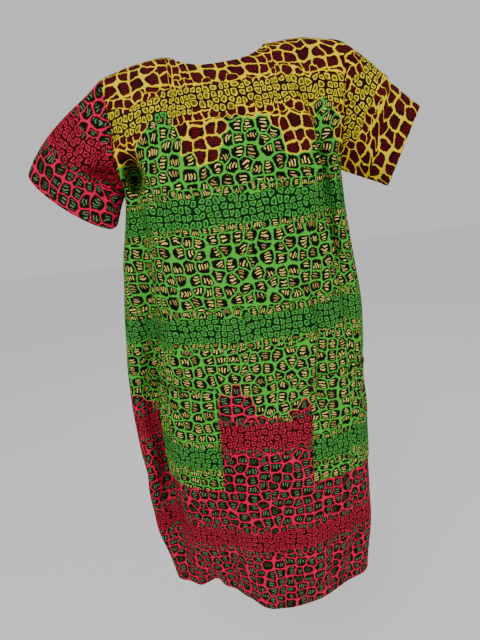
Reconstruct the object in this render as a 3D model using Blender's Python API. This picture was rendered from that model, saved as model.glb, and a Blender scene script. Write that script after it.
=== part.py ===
"""Short-sleeved, straight, knee-length boubou: a hollow worn form of thin cloth.

Metres, +Z up. The origin is the middle of the line that joins the two points where the neckline
meets the shoulder seams. The front faces -Y, and +X is the wearer's left.
Every panel is one surface, worked out from tables of sections and folds, with a wall of cloth
thickness on it. Two panels share the points of their seam, so their walls meet edge to edge.
"""

import bpy
import numpy as np

# Cloth
WALL = 0.0015
SEAM_GAP = 0.0003
MITRE_LIMIT = 0.5

# Heights
SHOULDER_Z = 0.0
UNDERARM_Z = -0.220
POCKET_TOP_Z = -0.585
POCKET_FOOT_Z = -0.815
HEM_Z = -1.125

# Neckline: half its width, and how far it drops at the middle of the front and of the back
NECK_HALF = 0.0846
NECK_DROP = {"front": 0.0295, "back": 0.018}
NECK_ROUND = 3.0

# Shoulder seams: height of the ridge from the wearer's right shoulder tip to the left one
RIDGE = {
    "x": (-0.200, -0.150, -NECK_HALF, NECK_HALF, 0.140, 0.188),
    "z": (-0.025, -0.013, -0.003, SHOULDER_Z, 0.003, -0.005),
}

# Yoke, from the shoulder seams (0) to the underarms (1): where the armhole edges are, how far
# they reach forward or back, and the share of a half turn that the cloth takes between them
YOKE = {
    "station": (0.00, 0.25, 0.50, 0.75, 1.00),
    "right_x": (-0.200, -0.195, -0.189, -0.190, -0.195),
    "left_x": (0.188, 0.204, 0.205, 0.203, 0.201),
    "reach": (0.000, 0.045, 0.062, 0.046, 0.000),
    "arc": (56.0, 60.0, 66.0, 78.0, 90.0),
}

# Body below the underarms: middle of the section, half its width, its depth to the front and to
# the back of the middle, its turn about the vertical, and where the grain of the front has swung
SECTIONS = {
    "height": (-0.220, -0.350, -0.470, -0.630, -0.780, -0.960, -1.125),
    "middle_x": (0.003, -0.005, -0.008, -0.018, -0.021, -0.018, -0.013),
    "middle_y": (0.000, 0.004, 0.008, 0.013, 0.020, 0.028, 0.035),
    "half_width": (0.198, 0.219, 0.236, 0.247, 0.250, 0.250, 0.234),
    "front": (0.108, 0.112, 0.110, 0.108, 0.110, 0.116, 0.125),
    "back": (0.096, 0.098, 0.092, 0.100, 0.104, 0.098, 0.092),
    "turn": (1.5, 2.5, 3.5, 5.0, 6.0, 6.8, 7.0),
    "grain": (4.0, 7.0, 9.0, 11.0, 10.0, 8.0, 6.0),
}

# Folds of the body: each has a row for every height where its place, width or depth changes.
# Angles go round the section: 0 is the middle of the front, 90 the wearer's left side seam.
# A depth above 0 is a trough, below 0 a ridge. A trough goes straight in, the more so the nearer
# it is to the middle of the front or the back, and a share of it goes in from the side.
FOLDS = (
    # name, height, angle, width, depth
    ("right flank", -0.150, -68.0, 8.0, 0.004),
    ("right flank", -0.240, -60.0, 9.0, 0.020),
    ("right flank", -0.350, -53.0, 10.0, 0.034),
    ("right flank", -0.600, -51.0, 11.0, 0.050),
    ("right flank", -0.800, -54.0, 12.0, 0.058),
    ("right flank", -0.980, -56.0, 14.0, 0.048),
    ("right flank", -1.125, -54.0, 16.0, 0.028),
    ("left flank", -0.130, 50.0, 7.0, 0.000),
    ("left flank", -0.200, 52.0, 7.0, 0.014),
    ("left flank", -0.310, 54.0, 7.0, 0.020),
    ("left flank", -0.450, 57.0, 8.0, 0.012),
    ("left flank", -0.560, 60.0, 9.0, 0.000),
    ("hem notch", -0.980, -34.0, 6.0, 0.000),
    ("hem notch", -1.060, -35.0, 6.0, 0.008),
    ("hem notch", -1.125, -37.0, 7.0, 0.040),
    ("hem slope", -0.850, -22.0, 14.0, 0.000),
    ("hem slope", -1.125, -23.0, 13.0, 0.046),
    ("front crease", -0.900, -10.0, 4.0, 0.000),
    ("front crease", -1.125, -9.0, 5.0, 0.009),
    ("left pocket pinch", -0.530, 84.0, 12.0, 0.000),
    ("left pocket pinch", -0.620, 84.0, 12.0, 0.008),
    ("left pocket pinch", -0.700, 84.0, 12.0, 0.000),
    ("left hem", -0.800, 58.0, 20.0, 0.000),
    ("left hem", -1.125, 54.0, 24.0, 0.026),
    ("back right", -0.260, 232.0, 9.0, 0.000),
    ("back right", -0.480, 226.0, 11.0, 0.022),
    ("back right", -0.850, 222.0, 11.0, 0.030),
    ("back right", -1.125, 220.0, 13.0, 0.034),
    ("back left", -0.280, 128.0, 9.0, 0.000),
    ("back left", -0.520, 134.0, 10.0, 0.018),
    ("back left", -0.900, 137.0, 11.0, 0.030),
    ("back left", -1.125, 138.0, 13.0, 0.032),
    ("back middle", -0.420, 184.0, 9.0, 0.000),
    ("back middle", -0.750, 186.0, 10.0, 0.012),
    ("back middle", -1.125, 188.0, 12.0, 0.022),
    ("back seat", -0.560, 160.0, 9.0, 0.000),
    ("back seat", -0.800, 160.0, 9.0, 0.010),
    ("back seat", -1.125, 161.0, 10.0, 0.012),
)
FOLD_SIDEWAYS = 0.35
FOLD_FACING = 2.2
FULL_TURN = 360.0

# Sleeves: the cuff is an ellipse with its long axis from the outer corner to the underarm end
SLEEVES = {
    "sleeve_right": {
        "side": -1.0,
        "outer": (-0.365, 0.022, -0.159),
        "inner": (-0.222, -0.012, -0.275),
        "half_thick": 0.034,
        "front_drop": 0.013,
        "swing": 8.0,
        "puff": 0.007,
        "shoulder_lift": 0.20,
        "straight": 0.00,
    },
    "sleeve_left": {
        "side": 1.0,
        "outer": (0.334, -0.040, -0.130),
        "inner": (0.279, -0.030, -0.256),
        "half_thick": 0.052,
        "front_drop": -0.005,
        "swing": -14.0,
        "puff": 0.003,
        "shoulder_lift": 0.10,
        "straight": 0.80,
    },
}

# Folds of the sleeves: "along" goes from the armhole (0) to the cuff (1), and "round" from the
# underarm (0) over the front to the shoulder (0.5) and down the back to the underarm (1)
SLEEVE_FOLDS = (
    # sleeve, name, along, round, width, depth
    ("sleeve_right", "armpit drag", 0.00, 0.100, 0.05, 0.000),
    ("sleeve_right", "armpit drag", 0.25, 0.140, 0.05, 0.014),
    ("sleeve_right", "armpit drag", 0.60, 0.200, 0.06, 0.010),
    ("sleeve_right", "armpit drag", 0.90, 0.240, 0.07, 0.000),
    ("sleeve_right", "back drag", 0.10, 0.800, 0.06, 0.000),
    ("sleeve_right", "back drag", 0.50, 0.760, 0.07, 0.010),
    ("sleeve_right", "back drag", 0.95, 0.740, 0.08, 0.000),
    ("sleeve_left", "front hollow", 0.10, 0.180, 0.06, 0.000),
    ("sleeve_left", "front hollow", 0.50, 0.210, 0.07, 0.012),
    ("sleeve_left", "front hollow", 0.95, 0.240, 0.08, 0.002),
    ("sleeve_left", "back drag", 0.10, 0.780, 0.06, 0.000),
    ("sleeve_left", "back drag", 0.55, 0.760, 0.07, 0.010),
    ("sleeve_left", "back drag", 0.95, 0.750, 0.08, 0.000),
)

# Pockets: the edges are columns of the front, given as shares of the way from its middle to its
# side seam, and the mouth stands a little away from the front
POCKETS = {
    "pocket_right": {"inner": -0.2375, "outer": -0.660},
    "pocket_left": {"inner": 0.2375, "outer": 0.905},
}
MOUTH_GAPE = 0.0022

# Grid of the panels: rows and columns between the lines that a seam or a pocket edge needs
NECK_SHARE = 0.365
NEAR = 1e-6
YOKE_ROWS = 10
WAIST_ROWS = 9
POCKET_ROWS = 6
SKIRT_ROWS = 8
FRONT_SPANS = (
    # from, columns to the next
    (-1.0, 9),
    (-0.660, 5),
    (-NECK_SHARE, 3),
    (-0.2375, 5),
    (0.0, 5),
    (0.2375, 3),
    (NECK_SHARE, 11),
    (0.905, 3),
    (1.0, 0),
)
BACK_SPANS = (
    (-1.0, 9),
    (-0.660, 5),
    (-NECK_SHARE, 8),
    (NECK_SHARE, 11),
    (0.905, 3),
    (1.0, 0),
)
SLEEVE_ROWS = 7

# Colours of the printed cotton
COLOURS = {
    "front": (0.13, 0.42, 0.09, 1.0),
    "back": (0.11, 0.38, 0.09, 1.0),
    "sleeve_right": (0.62, 0.04, 0.07, 1.0),
    "sleeve_left": (0.75, 0.48, 0.05, 1.0),
    "pocket_right": (0.16, 0.48, 0.11, 1.0),
    "pocket_left": (0.16, 0.48, 0.11, 1.0),
}
COTTON_ROUGHNESS = 0.8

# Share of the nearest slope that a curve through a table has at its two ends
END_SLOPE = 0.5


def smooth(keys, values, where):
    """Values at places between rows of a table, on Hermite curves that never overshoot a row."""
    keys = np.asarray(keys, float)
    values = np.asarray(values, float)
    if keys[0] > keys[-1]:
        keys = keys[::-1]
        values = values[::-1]
    steps = np.diff(keys)
    slopes = np.diff(values) / steps
    tangents = np.zeros_like(values)
    if len(keys) > 2:
        same = slopes[:-1] * slopes[1:] > 0
        mean = 2 * slopes[:-1] * slopes[1:] / np.where(same, slopes[:-1] + slopes[1:], 1.0)
        tangents[1:-1] = np.where(same, mean, 0.0)
    tangents[0] = slopes[0] * END_SLOPE
    tangents[-1] = slopes[-1] * END_SLOPE
    where = np.clip(where, keys[0], keys[-1])
    i = np.clip(np.searchsorted(keys, where) - 1, 0, len(keys) - 2)
    t = (where - keys[i]) / steps[i]
    rise = 3 * t**2 - 2 * t**3
    return (
        values[i] * (1 - rise)
        + values[i + 1] * rise
        + tangents[i] * steps[i] * (t - 2 * t**2 + t**3)
        + tangents[i + 1] * steps[i] * (t**3 - t**2)
    )


def unit(vectors):
    """The same directions with length 1."""
    return vectors / np.linalg.norm(vectors, axis=-1, keepdims=True)


def fold_depth(rows, along, across, period=None):
    """Depth of all the folds at once: each is a bell across its line, between its own rows."""
    depth = np.zeros(np.broadcast(along, across).shape)
    for name in dict.fromkeys(row[0] for row in rows):
        keys = [row[1:] for row in rows if row[0] == name]
        place, middle, width, amount = (np.array(column) for column in zip(*keys))
        off = across - smooth(place, middle, along)
        if period:
            off = (off + period / 2) % period - period / 2
        bell = np.exp(-((off / smooth(place, width, along)) ** 2))
        inside = (along >= place.min() - NEAR) & (along <= place.max() + NEAR)
        depth += np.where(inside, smooth(place, amount, along) * bell, 0.0)
    return depth


def body(side, u, station):
    """Point of the front or the back.

    u goes from the wearer's right edge (-1) to the left one (1), and station from the shoulder
    seams (0) to the underarms (1) and the hem (2). In the yoke the side view is a quarter of an
    ellipse from the ridge of the shoulder to the full depth at the underarm, begun further down
    at the neckline. Below, each section is half an ellipse, with its folds pressed in. The grain
    of the front swings to the wearer's left, and the whole body turns a little as it goes down.
    """
    u, station = np.broadcast_arrays(np.asarray(u, float), np.asarray(station, float))
    facing = -1.0 if side == "front" else 1.0
    yoke = np.clip(station, 0, 1)
    skirt = np.clip(station - 1, 0, 1)

    arc = np.radians(smooth(YOKE["station"], YOKE["arc"], yoke))
    right_x = smooth(YOKE["station"], YOKE["right_x"], yoke)
    left_x = smooth(YOKE["station"], YOKE["left_x"], yoke)
    centre = (left_x + right_x) / 2
    reach = (left_x - right_x) / 2 / np.sin(arc)
    ridge_x = centre + reach * np.sin(arc * u)
    ridge = smooth(RIDGE["x"], RIDGE["z"], ridge_x)
    neck = np.clip(1 - abs(ridge_x / NECK_HALF) ** NECK_ROUND, 0, 1)
    neck = neck * (abs(u) <= NECK_SHARE + NEAR)
    height = ridge - UNDERARM_Z
    start = np.arccos(1 - NECK_DROP[side] * neck / height)
    bow = start + (np.pi / 2 - start) * yoke
    z = ridge - height * (1 - np.cos(bow))
    z = np.where(station > 1, UNDERARM_Z + (HEM_Z - UNDERARM_Z) * skirt, z)

    down = np.clip(z / UNDERARM_Z, 0, 1)
    grain = smooth(SECTIONS["height"], SECTIONS["grain"], z) * down if side == "front" else 0.0
    lean = grain * (1 - u**2) * yoke
    round_by = arc * u + np.radians(lean)
    middle = smooth(SECTIONS["height"], SECTIONS["middle_x"], z)
    half = smooth(SECTIONS["height"], SECTIONS["half_width"], z)
    full = smooth(SECTIONS["height"], SECTIONS[side], z)
    edge = smooth(YOKE["station"], YOKE["reach"], yoke)
    x_yoke = centre + reach * np.sin(round_by)
    x = np.where(station > 1, middle + half * np.sin(round_by), x_yoke)
    across = (np.cos(round_by) - np.cos(arc)) / (1 - np.cos(arc))
    y = facing * (edge + (full * np.sin(bow) - edge) * across)

    angle = 90 * u + lean
    angle = angle if side == "front" else 180 - angle
    facet = np.cos(np.radians(angle))
    press = fold_depth(FOLDS, z, angle, FULL_TURN) * np.clip(station * 2, 0, 1)
    x = x - FOLD_SIDEWAYS * np.sin(np.radians(angle)) * press
    y = y + np.tanh(FOLD_FACING * facet) / np.tanh(FOLD_FACING) * press

    turn = np.radians(smooth(SECTIONS["height"], SECTIONS["turn"], z)) * down
    y = y + smooth(SECTIONS["height"], SECTIONS["middle_y"], z) * down
    off = x - middle
    x = middle + off * np.cos(turn) + y * np.sin(turn)
    y = y * np.cos(turn) - off * np.sin(turn)
    return np.stack([x, y, z], axis=-1)


def spread(spans):
    """Places along a row of spans, each divided evenly."""
    places = [spans[0][0]]
    for (start, count), (end, _) in zip(spans, spans[1:]):
        places += list(start + (end - start) * np.arange(1, count + 1) / count)
    return np.array(places)


def station_at(height):
    """Station of a height below the underarms."""
    return 1 + (height - UNDERARM_Z) / (HEM_Z - UNDERARM_Z)


STATIONS = spread((
    (0.0, YOKE_ROWS),
    (1.0, WAIST_ROWS),
    (station_at(POCKET_TOP_Z), POCKET_ROWS),
    (station_at(POCKET_FOOT_Z), SKIRT_ROWS),
    (2.0, 0),
))


def armhole(grids, side):
    """Armhole loop: from the underarm up the front edge to the shoulder and down the back edge."""
    column = 0 if side < 0 else -1
    front = grids["front"][YOKE_ROWS::-1, column]
    back = grids["back"][1:YOKE_ROWS + 1, column]
    return np.concatenate([front, back])


def sleeve(name, loop):
    """Sleeve from its armhole loop to its cuff, as rows of rings whose last point is the first.

    Each line along the sleeve is a Hermite curve: it leaves the armhole between the line of the
    shoulder and that of the sleeve, and reaches the cuff square to it, or more nearly straight.
    """
    size = SLEEVES[name]
    outer = np.array(size["outer"])
    inner = np.array(size["inner"])
    steps = np.linalg.norm(np.diff(loop, axis=0), axis=1)
    half = len(steps) // 2
    front = np.cumsum(steps[:half]) / steps[:half].sum()
    back = np.cumsum(steps[half:]) / steps[half:].sum()
    share = np.concatenate([[0.0], front / 2, 0.5 + back / 2])

    centre = (outer + inner) / 2
    major = (outer - inner) / 2
    swing = np.radians(size["swing"])
    thick = np.array([np.sin(swing) * size["side"], -np.cos(swing), 0.0])
    thick = unit(thick - unit(major) * np.dot(thick, unit(major)))
    turn = np.pi * (1 - 2 * share)[:, None]
    axis = np.cross(unit(major), thick)
    axis = axis * np.sign(axis[0] * size["side"])
    forward = thick * size["half_thick"] + axis * size["front_drop"]
    cuff = centre + major * np.cos(turn) + forward * np.sin(turn)

    high = (1 + np.cos(turn)) / 2
    straight = size["straight"] * high
    reach = unit(axis * (1 - straight) + unit(cuff - loop) * straight)
    level = np.array([size["side"], 0.0, 0.0])
    leave = unit(reach + level * high * size["shoulder_lift"])
    length = np.linalg.norm(cuff - loop, axis=1, keepdims=True)

    t = np.linspace(0, 1, SLEEVE_ROWS + 1)[:, None, None]
    line = (
        loop * (1 - 3 * t**2 + 2 * t**3)
        + cuff * (3 * t**2 - 2 * t**3)
        + leave * length * (t - 2 * t**2 + t**3)
        + reach * length * (t**3 - t**2)
    )
    middle = line[:, :-1].mean(axis=1, keepdims=True)
    rows = [row[1:] for row in SLEEVE_FOLDS if row[0] == name]
    press = fold_depth(rows, t[..., 0], share[None, :], 1.0)[..., None]
    puff = size["puff"] * np.sin(np.pi * t) * high
    line = line + unit(line - middle) * (puff - press)
    line[:, -1] = line[:, 0]
    return line


def surface_normals(grid, ring):
    """Unit normals of a grid of points: on the front they point forward."""
    if ring:
        across = np.roll(grid[:, :-1], -1, axis=1) - np.roll(grid[:, :-1], 1, axis=1)
        across = np.concatenate([across, across[:, :1]], axis=1)
    else:
        across = np.gradient(grid, axis=1)
    down = np.gradient(grid, axis=0)
    return unit(np.cross(down, across))


def mitre(first, second):
    """Half a wall, laid so that the walls of two panels end on the same face."""
    middle = unit(first + second)
    lean = np.clip(np.sum(middle * first, axis=-1, keepdims=True), MITRE_LIMIT, 1.0)
    return middle / lean * WALL / 2


def inset(points, offsets, inward, closed=False):
    """Half the seam gap, square to the face that a wall ends on and towards its own panel."""
    if closed:
        along = np.roll(points, -1, axis=0) - np.roll(points, 1, axis=0)
    else:
        along = np.gradient(points, axis=0)
    across = unit(np.cross(along, offsets))
    across = across * np.sign(np.sum(across * inward, axis=-1, keepdims=True))
    return across * SEAM_GAP / 2


def seams(grids):
    """Offsets that lay half a wall on every point, and the grids drawn back from their seams."""
    normals = {
        "front": surface_normals(grids["front"], False),
        "back": -surface_normals(grids["back"], False),
    }
    for name, size in SLEEVES.items():
        normals[name] = surface_normals(grids[name], True)[:, :-1] * size["side"]
    offsets = {name: normal * WALL / 2 for name, normal in normals.items()}
    shared = (normals["front"][:, [0, -1]], normals["back"][:, [0, -1]])
    offsets["front"][:, [0, -1]] = offsets["back"][:, [0, -1]] = mitre(*shared)

    tips = {}
    for side, spans in (("front", FRONT_SPANS), ("back", BACK_SPANS)):
        share = spread(spans)
        right = np.flatnonzero(share < NEAR - NECK_SHARE)
        left = np.flatnonzero(share > NECK_SHARE - NEAR)
        tips[side] = (right, left)
    for front, back in zip(tips["front"], tips["back"]):
        joined = mitre(normals["front"][0, front], normals["back"][0, back])
        offsets["front"][0, front] = joined
        offsets["back"][0, back] = joined

    for name, size in SLEEVES.items():
        column = 0 if size["side"] < 0 else -1
        front = normals["front"][YOKE_ROWS::-1, column].copy()
        back = normals["back"][:YOKE_ROWS + 1, column].copy()
        front[0] = back[-1] = unit(front[0] + back[-1])
        front[-1] = back[0] = unit(front[-1] + back[0])
        panel = np.concatenate([front, back[1:-1]])
        joined = mitre(panel, normals[name][0])
        offsets[name][0] = joined
        offsets["front"][YOKE_ROWS::-1, column] = joined[:YOKE_ROWS + 1]
        offsets["back"][1:YOKE_ROWS + 1, column] = np.concatenate(
            [joined[YOKE_ROWS + 1:], joined[:1]]
        )
        offsets["back"][0, column] = joined[YOKE_ROWS]

    drawn = {name: grid.copy() for name, grid in grids.items()}
    for side in ("front", "back"):
        grid = grids[side]
        for column, beside in ((0, 1), (-1, -2)):
            for rows in (slice(0, YOKE_ROWS + 1), slice(YOKE_ROWS, None)):
                edge = grid[rows, column]
                inward = grid[rows, beside] - edge
                drawn[side][rows, column] += inset(edge, offsets[side][rows, column], inward)
        for columns in tips[side]:
            edge = grid[0, columns]
            inward = grid[1, columns] - edge
            drawn[side][0, columns] += inset(edge, offsets[side][0, columns], inward)
    for name in SLEEVES:
        ring = grids[name][:, :-1]
        drawn[name] = ring.copy()
        drawn[name][0] += inset(ring[0], offsets[name][0], ring[1] - ring[0], closed=True)
    return drawn, offsets


def pocket(name, grid, offsets):
    """Part of the front's own points, moved out past its wall, with the mouth standing away."""
    share = spread(FRONT_SPANS)
    ends = sorted((POCKETS[name]["inner"], POCKETS[name]["outer"]))
    columns = (share > ends[0] - NEAR) & (share < ends[1] + NEAR)
    rows = slice(YOKE_ROWS + WAIST_ROWS, YOKE_ROWS + WAIST_ROWS + POCKET_ROWS + 1)
    base = grid[rows][:, columns]
    out = unit(offsets[rows][:, columns])
    down = np.linspace(0, 1, base.shape[0])[:, None, None]
    across = np.linspace(0, 1, base.shape[1])[None, :, None]
    gape = MOUTH_GAPE * np.sin(np.pi * across) * (1 - down) ** 2
    return base + out * (WALL + SEAM_GAP + gape), out * WALL / 2


def cotton(name):
    """Plain cotton in the piece's main colour."""
    material = bpy.data.materials.new(name)
    material.use_nodes = True
    shader = material.node_tree.nodes["Principled BSDF"]
    shader.inputs["Base Color"].default_value = COLOURS[name]
    shader.inputs["Roughness"].default_value = COTTON_ROUGHNESS
    shader.inputs["Metallic"].default_value = 0.0
    return material


def wall(name, grid, offsets, ring=False):
    """Closed wall: the grid moved out and in by its offsets, joined round its free edges.

    Every square of the grid is split along the same diagonal, so that a pocket's faces run
    alongside those of the front under it.
    """
    rows, columns = grid.shape[:2]
    inner = rows * columns
    points = np.concatenate([(grid + offsets).reshape(-1, 3), (grid - offsets).reshape(-1, 3)])
    index = np.arange(inner).reshape(rows, columns)
    left = index if ring else index[:, :-1]
    right = np.roll(index, -1, axis=1) if ring else index[:, 1:]
    first = np.stack([left[:-1], left[1:], right[1:]], axis=-1).reshape(-1, 3)
    second = np.stack([left[:-1], right[1:], right[:-1]], axis=-1).reshape(-1, 3)
    outside = np.concatenate([first, second])
    faces = [outside, outside[:, ::-1] + inner]
    if ring:
        rims = [np.append(index[0], index[0, 0]), np.append(index[-1, ::-1], index[-1, -1])]
    else:
        rims = [np.concatenate([index[0], index[1:, -1], index[-1, -2::-1], index[-2::-1, 0]])]
    for rim in rims:
        a = rim[:-1]
        b = rim[1:]
        faces.append(np.stack([a, b, b + inner], axis=-1))
        faces.append(np.stack([a, b + inner, a + inner], axis=-1))
    mesh = bpy.data.meshes.new(name)
    mesh.from_pydata(points.tolist(), [], np.concatenate(faces).tolist())
    mesh.materials.append(cotton(name))
    mesh.shade_smooth()
    item = bpy.data.objects.new(name, mesh)
    bpy.context.collection.objects.link(item)


def panels():
    """Middle surfaces of the front, the back and the sleeves, with the seams' points shared."""
    grids = {
        "front": body("front", spread(FRONT_SPANS)[None, :], STATIONS[:, None]),
        "back": body("back", spread(BACK_SPANS)[None, :], STATIONS[:, None]),
    }
    for column in (0, -1):
        grids["back"][YOKE_ROWS:, column] = grids["front"][YOKE_ROWS:, column]
        grids["back"][0, column] = grids["front"][0, column]
    for name, size in SLEEVES.items():
        grids[name] = sleeve(name, armhole(grids, size["side"]))
    return grids


def main():
    """Build every piece."""
    for item in list(bpy.data.objects):
        bpy.data.objects.remove(item, do_unlink=True)
    grids, offsets = seams(panels())
    wall("front", grids["front"], offsets["front"])
    wall("back", grids["back"][:, ::-1], offsets["back"][:, ::-1])
    for name, size in SLEEVES.items():
        order = slice(None, None, -1 if size["side"] < 0 else 1)
        wall(name, grids[name][:, order], offsets[name][:, order], ring=True)
    for name in POCKETS:
        wall(name, *pocket(name, grids["front"], offsets["front"]))


main()
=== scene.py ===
"""Short-sleeved wax-print boubou, filled out as if worn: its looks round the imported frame.

Metres, +Z up, the front faces -Y and +X is the wearer's left, as in the frame. Every panel is a
surface of two parameters, and carries a map of its own flat cut: across it, and down it from the
shoulders, in metres. The print, the weave, the creases and the sewing are laid out on that cut.
"""

import bpy
import numpy as np
from mathutils import Matrix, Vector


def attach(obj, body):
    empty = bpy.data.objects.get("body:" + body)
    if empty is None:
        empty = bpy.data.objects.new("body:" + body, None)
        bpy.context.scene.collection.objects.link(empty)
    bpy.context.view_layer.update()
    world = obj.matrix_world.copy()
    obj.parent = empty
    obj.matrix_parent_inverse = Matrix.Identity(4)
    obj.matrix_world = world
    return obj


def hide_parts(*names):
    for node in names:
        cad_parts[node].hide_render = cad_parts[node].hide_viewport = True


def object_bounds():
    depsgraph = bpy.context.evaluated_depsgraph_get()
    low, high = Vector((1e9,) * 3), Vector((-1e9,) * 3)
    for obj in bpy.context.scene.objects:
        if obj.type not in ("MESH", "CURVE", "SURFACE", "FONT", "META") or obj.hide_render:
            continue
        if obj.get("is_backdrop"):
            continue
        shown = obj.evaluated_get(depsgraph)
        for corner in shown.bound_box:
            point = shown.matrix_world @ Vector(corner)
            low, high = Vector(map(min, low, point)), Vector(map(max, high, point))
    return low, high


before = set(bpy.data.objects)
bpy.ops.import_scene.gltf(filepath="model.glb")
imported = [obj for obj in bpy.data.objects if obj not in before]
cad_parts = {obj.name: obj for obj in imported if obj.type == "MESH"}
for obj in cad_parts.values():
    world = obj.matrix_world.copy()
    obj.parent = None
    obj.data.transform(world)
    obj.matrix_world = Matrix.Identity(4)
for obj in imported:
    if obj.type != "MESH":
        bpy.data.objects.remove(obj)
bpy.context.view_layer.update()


# Camera
# It stands where the photographer stood: a little above the waist, close, looking down and rolled.
CAMERA_PLACE = (-0.013, -0.920, -0.2057)
CAMERA_DOWN = 16.8
CAMERA_ROLL = 6.7
CAMERA_LENS = 27.06
CAMERA_SENSOR = 36.0


def add_object(name, data):
    """A new object in the scene."""
    item = bpy.data.objects.new(name, data)
    bpy.context.scene.collection.objects.link(item)
    return item


camera = add_object("camera", bpy.data.cameras.new("camera"))
camera.data.lens = CAMERA_LENS
camera.data.sensor_width = CAMERA_SENSOR
tipped = Matrix.Rotation(np.radians(90 - CAMERA_DOWN), 4, "X")
rolled = tipped @ Matrix.Rotation(np.radians(-CAMERA_ROLL), 4, "Z")
camera.matrix_world = Matrix.Translation(CAMERA_PLACE) @ rolled
bpy.context.scene.camera = camera


# Form of the dress
# The front and the back are cut wide and straight, and are filled out by the body that wore them:
# a yoke from the shoulder seams to the underarms, and below it one round with deep soft folds.
UNDERARM_Z = -0.220
HEM_Z = -1.125
POCKET_TOP_Z = -0.585
POCKET_FOOT_Z = -0.815
NECK_HALF = 0.0846
NECK_DROP = {"front": 0.0295, "back": 0.018}
NECK_ROUND = 3.0
NECK_SHARE = 0.365
NEAR = 1e-6
RIDGE = {
    "x": (-0.200, -0.150, -NECK_HALF, NECK_HALF, 0.140, 0.188),
    "z": (-0.025, -0.013, -0.003, 0.0, 0.003, -0.005),
}
YOKE = {
    "station": (0.00, 0.25, 0.50, 0.75, 1.00),
    "right_x": (-0.200, -0.195, -0.189, -0.190, -0.195),
    "left_x": (0.188, 0.204, 0.205, 0.203, 0.201),
    "reach": (0.000, 0.045, 0.062, 0.046, 0.000),
    "arc": (56.0, 60.0, 66.0, 78.0, 90.0),
}
SECTIONS = {
    "height": (-0.220, -0.350, -0.470, -0.630, -0.780, -0.960, -1.125),
    "middle_x": (0.003, -0.005, -0.008, -0.018, -0.021, -0.018, -0.013),
    "middle_y": (0.000, 0.004, 0.008, 0.013, 0.020, 0.028, 0.035),
    "half_width": (0.198, 0.219, 0.236, 0.247, 0.250, 0.250, 0.234),
    "front": (0.108, 0.112, 0.110, 0.108, 0.110, 0.116, 0.125),
    "back": (0.096, 0.098, 0.092, 0.100, 0.104, 0.098, 0.092),
    "turn": (1.5, 2.5, 3.5, 5.0, 6.0, 6.8, 7.0),
    "grain": (4.0, 7.0, 9.0, 11.0, 10.0, 8.0, 6.0),
}
# Folds: angles go round the body from the middle of the front (0) to the wearer's left side (90)
FOLDS = {
    # height, angle, width, depth
    "right flank": (
        (-0.150, -68, 8, 0.004), (-0.240, -60, 9, 0.020), (-0.350, -53, 10, 0.034),
        (-0.600, -51, 11, 0.050), (-0.800, -54, 12, 0.058), (-0.980, -56, 14, 0.048),
        (-1.125, -54, 16, 0.028),
    ),
    "left flank": (
        (-0.130, 50, 7, 0.000), (-0.200, 52, 7, 0.014), (-0.310, 54, 7, 0.020), (-0.450, 57, 8, 0.012),
        (-0.560, 60, 9, 0.000),
    ),
    "hem notch": ((-0.980, -34, 6, 0.000), (-1.060, -35, 6, 0.008), (-1.125, -37, 7, 0.040)),
    "hem slope": ((-0.850, -22, 14, 0.000), (-1.125, -23, 13, 0.046)),
    "front crease": ((-0.900, -10, 4, 0.000), (-1.125, -9, 5, 0.009)),
    "left pocket pinch": ((-0.530, 84, 12, 0.000), (-0.620, 84, 12, 0.008), (-0.700, 84, 12, 0.000)),
    "left hem": ((-0.800, 58, 20, 0.000), (-1.125, 54, 24, 0.026)),
    "back right": (
        (-0.260, 232, 9, 0.000), (-0.480, 226, 11, 0.022), (-0.850, 222, 11, 0.030),
        (-1.125, 220, 13, 0.034),
    ),
    "back left": (
        (-0.280, 128, 9, 0.000), (-0.520, 134, 10, 0.018), (-0.900, 137, 11, 0.030),
        (-1.125, 138, 13, 0.032),
    ),
    "back middle": ((-0.420, 184, 9, 0.000), (-0.750, 186, 10, 0.012), (-1.125, 188, 12, 0.022)),
    "back seat": ((-0.560, 160, 9, 0.000), (-0.800, 160, 9, 0.010), (-1.125, 161, 10, 0.012)),
}
FOLD_SIDEWAYS = 0.35
FOLD_FACING = 2.2
FOLDS_FULL_AT = 0.5
FULL_TURN = 360.0
END_SLOPE = 0.5


def hermite(t, start, end, leave, reach):
    """Hermite curve from start to end as t goes from 0 to 1, with its slopes at both ends."""
    rise = 3 * t**2 - 2 * t**3
    return start * (1 - rise) + end * rise + leave * (t - 2 * t**2 + t**3) + reach * (t**3 - t**2)


def smooth(keys, values, where):
    """Values at places between rows of a table, on Hermite curves that never overshoot a row."""
    keys = np.asarray(keys, float)
    values = np.asarray(values, float)
    if keys[0] > keys[-1]:
        keys = keys[::-1]
        values = values[::-1]
    steps = np.diff(keys)
    slopes = np.diff(values) / steps
    tangents = np.zeros_like(values)
    if len(keys) > 2:
        same = slopes[:-1] * slopes[1:] > 0
        mean = 2 * slopes[:-1] * slopes[1:] / np.where(same, slopes[:-1] + slopes[1:], 1.0)
        tangents[1:-1] = np.where(same, mean, 0.0)
    tangents[0] = slopes[0] * END_SLOPE
    tangents[-1] = slopes[-1] * END_SLOPE
    where = np.clip(where, keys[0], keys[-1])
    i = np.clip(np.searchsorted(keys, where) - 1, 0, len(keys) - 2)
    t = (where - keys[i]) / steps[i]
    return hermite(t, values[i], values[i + 1], tangents[i] * steps[i], tangents[i + 1] * steps[i])


def unit(vectors):
    """The same directions with length 1."""
    return vectors / np.linalg.norm(vectors, axis=-1, keepdims=True)


def row_of(table, name, where):
    """A table's named row, at places along its first row."""
    return smooth(next(iter(table.values())), table[name], where)


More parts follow.
